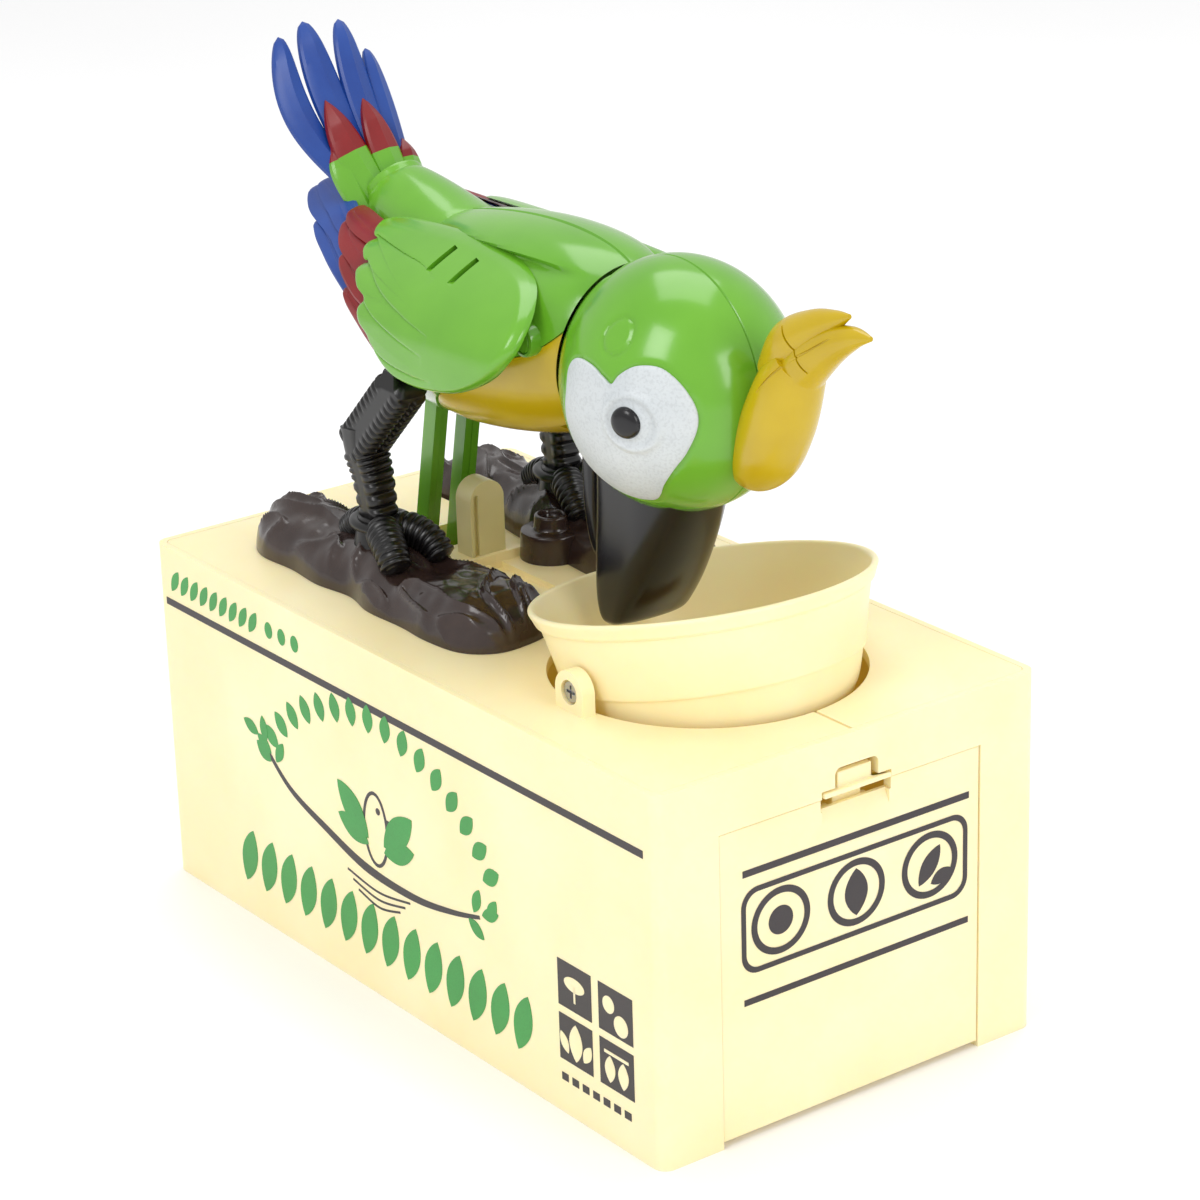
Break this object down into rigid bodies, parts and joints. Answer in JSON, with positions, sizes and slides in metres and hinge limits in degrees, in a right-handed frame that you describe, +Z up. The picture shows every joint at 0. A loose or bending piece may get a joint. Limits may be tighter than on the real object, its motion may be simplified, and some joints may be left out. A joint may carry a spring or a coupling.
{
  "type": "mechanical bank",
  "caption": "Coin box with a hinged parrot that bends over a tilting bowl; its beak tips the coin into the box, emptied through a front door.",
  "frame": {"origin": "centre of the box's underside, on the surface that the bank stands on", "axes": "+X towards the bowl and the coin door, +Y towards the bird's left, +Z up"},
  "size_m": [0.1919, 0.0986, 0.1928],
  "materials": {
    "cream_plastic": "smooth moulded, soft gloss",
    "green_plastic": "smooth moulded, high gloss",
    "yellow_plastic": "smooth moulded, high gloss",
    "blue_paint": "gloss paint on plastic",
    "red_paint": "gloss paint on plastic",
    "white_paint": "sprayed satin paint on plastic",
    "black_plastic": "satin moulded",
    "brown_plastic": "glossy moulded",
    "grey_plastic": "matte moulded",
    "nylon": "natural nylon",
    "steel": "bright",
    "brass": "machined",
    "battery_skin": "printed sleeve"
  },
  "bodies": {
    "base": {"box_shell": "cream_plastic", "cover_right": "cream_plastic", "cover_left": "cream_plastic", "guide_post": "cream_plastic", "bottom_plate": "cream_plastic", "battery_cover": "cream_plastic", "case_screws": "steel", "partition": "cream_plastic", "batteries": "battery_skin", "battery_contacts": "steel", "gearbox_frame": "nylon", "motor": "steel", "gear_shafts": "steel", "rocker_shaft": "steel", "log_right": "brown_plastic", "log_left": "brown_plastic", "leg_right": "black_plastic", "leg_left": "black_plastic", "foot_right": "black_plastic", "foot_left": "black_plastic", "hip_shaft": "steel", "start_switch": "grey_plastic", "power_switch": "grey_plastic"},
    "bird": {"body_right": "green_plastic", "body_left": "green_plastic", "breast": "yellow_plastic", "wing_right": "green_plastic", "wing_left": "green_plastic", "tail_fan": "green_plastic", "neck_arm": "green_plastic", "neck_pin": "steel", "tilt_lever": "nylon"},
    "head": {"head_right": "green_plastic", "head_left": "green_plastic", "beak_upper": "black_plastic", "beak_lower": "black_plastic", "crest": "yellow_plastic", "eye_right": "black_plastic", "eye_left": "black_plastic", "head_lever": "nylon"},
    "bellcrank": {"bellcrank": "nylon"},
    "head_link": {"head_link": "nylon"},
    "rod_left": {"push_rod_left": "green_plastic"},
    "rod_right": {"push_rod_right": "green_plastic"},
    "rocker_left": {"rocker_body": "nylon"},
    "rocker_right": {"rocker_head": "nylon"},
    "crank": {"crank_gear": "nylon"},
    "second_wheel": {"gear_b": "nylon"},
    "first_wheel": {"gear_a": "nylon"},
    "motor_shaft": {"motor_pinion": "brass"},
    "bowl": {"bowl": "cream_plastic", "bowl_tray": "cream_plastic", "bowl_screws": "steel"},
    "door": {"coin_door": "cream_plastic"},
    "latch": {"door_latch": "cream_plastic"},
    "power_knob": {"power_knob": "black_plastic"},
    "coin_lever": {"coin_lever": "nylon"}
  },
  "joints": [
    {"name": "body_tilt", "type": "hinge", "parent": "base", "child": "bird", "pos_m": [-0.027, 0, 0.128], "axis": [0, -1, 0], "range_deg": [0, 26]},
    {"name": "head_nod", "type": "hinge", "parent": "bird", "child": "head", "pos_m": [0.043, 0, 0.155], "axis": [0, -1, 0], "range_deg": [0, 13]},
    {"name": "bellcrank_turn", "type": "hinge", "parent": "bird", "child": "bellcrank", "pos_m": [-0.027, 0, 0.128], "axis": [0, -1, 0], "range_deg": [0, 13]},
    {"name": "head_link_swing", "type": "hinge", "parent": "bellcrank", "child": "head_link", "pos_m": [-0.0294, 0, 0.1344], "axis": [0, -1, 0], "range_deg": [-13, 0]},
    {"name": "rod_left_swing", "type": "hinge", "parent": "bird", "child": "rod_left", "pos_m": [-0.0405, 0, 0.126], "axis": [0, -1, 0], "range_deg": [-26, 0]},
    {"name": "rod_right_swing", "type": "hinge", "parent": "bellcrank", "child": "rod_right", "pos_m": [-0.0405, 0, 0.126], "axis": [0, -1, 0], "range_deg": [-39, 0]},
    {"name": "rocker_left_turn", "type": "hinge", "parent": "base", "child": "rocker_left", "pos_m": [-0.0402, 0, 0.062], "axis": [0, -1, 0], "range_deg": [0, 26]},
    {"name": "rocker_right_turn", "type": "hinge", "parent": "base", "child": "rocker_right", "pos_m": [-0.0402, 0, 0.062], "axis": [0, -1, 0], "range_deg": [0, 39]},
    {"name": "crank_spin", "type": "hinge", "parent": "base", "child": "crank", "pos_m": [-0.027, 0, 0.038], "axis": [0, -1, 0], "continuous": true},
    {"name": "second_wheel_spin", "type": "hinge", "parent": "base", "child": "second_wheel", "pos_m": [-0.00887, 0, 0.02955], "axis": [0, -1, 0], "continuous": true},
    {"name": "first_wheel_spin", "type": "hinge", "parent": "base", "child": "first_wheel", "pos_m": [-0.00727, 0, 0.04788], "axis": [0, -1, 0], "continuous": true},
    {"name": "motor_spin", "type": "hinge", "parent": "base", "child": "motor_shaft", "pos_m": [-0.0232, 0, 0.05708], "axis": [0, -1, 0], "continuous": true},
    {"name": "bowl_tip", "type": "hinge", "parent": "base", "child": "bowl", "pos_m": [0.0482, 0, 0.0854], "axis": [0, 1, 0], "range_deg": [0, 12]},
    {"name": "door_swing", "type": "hinge", "parent": "base", "child": "door", "pos_m": [0.0909, 0, 0.0042], "axis": [0, 1, 0], "range_deg": [0, 90]},
    {"name": "latch_press", "type": "slide", "parent": "door", "child": "latch", "axis": [0, 0, -1], "range_m": [0, 0.0022], "stiffness_N_per_m": 200, "springref_m": -0.002},
    {"name": "power_slide", "type": "slide", "parent": "base", "child": "power_knob", "axis": [0, 1, 0], "range_m": [0, 0.004]},
    {"name": "coin_lever_dip", "type": "hinge", "parent": "base", "child": "coin_lever", "pos_m": [0.0134, 0, 0.058], "axis": [0, 1, 0], "range_deg": [0, 14], "stiffness_Nm_per_rad": 0.004, "springref_deg": -17.19}
  ],
  "couplings": [
    {"joint": "head_nod", "follows": "body_tilt", "ratio": 0.5},
    {"joint": "bellcrank_turn", "follows": "body_tilt", "ratio": 0.5},
    {"joint": "head_link_swing", "follows": "body_tilt", "ratio": -0.5},
    {"joint": "rod_left_swing", "follows": "body_tilt", "ratio": -1},
    {"joint": "rod_right_swing", "follows": "body_tilt", "ratio": -1.5},
    {"joint": "rocker_left_turn", "follows": "body_tilt", "ratio": 1},
    {"joint": "rocker_right_turn", "follows": "body_tilt", "ratio": 1.5},
    {"joint": "bowl_tip", "follows": "body_tilt", "ratio": 0.46154},
    {"joint": "second_wheel_spin", "follows": "crank_spin", "ratio": -4},
    {"joint": "first_wheel_spin", "follows": "crank_spin", "ratio": 14.4},
    {"joint": "motor_spin", "follows": "crank_spin", "ratio": -51.84}
  ]
}
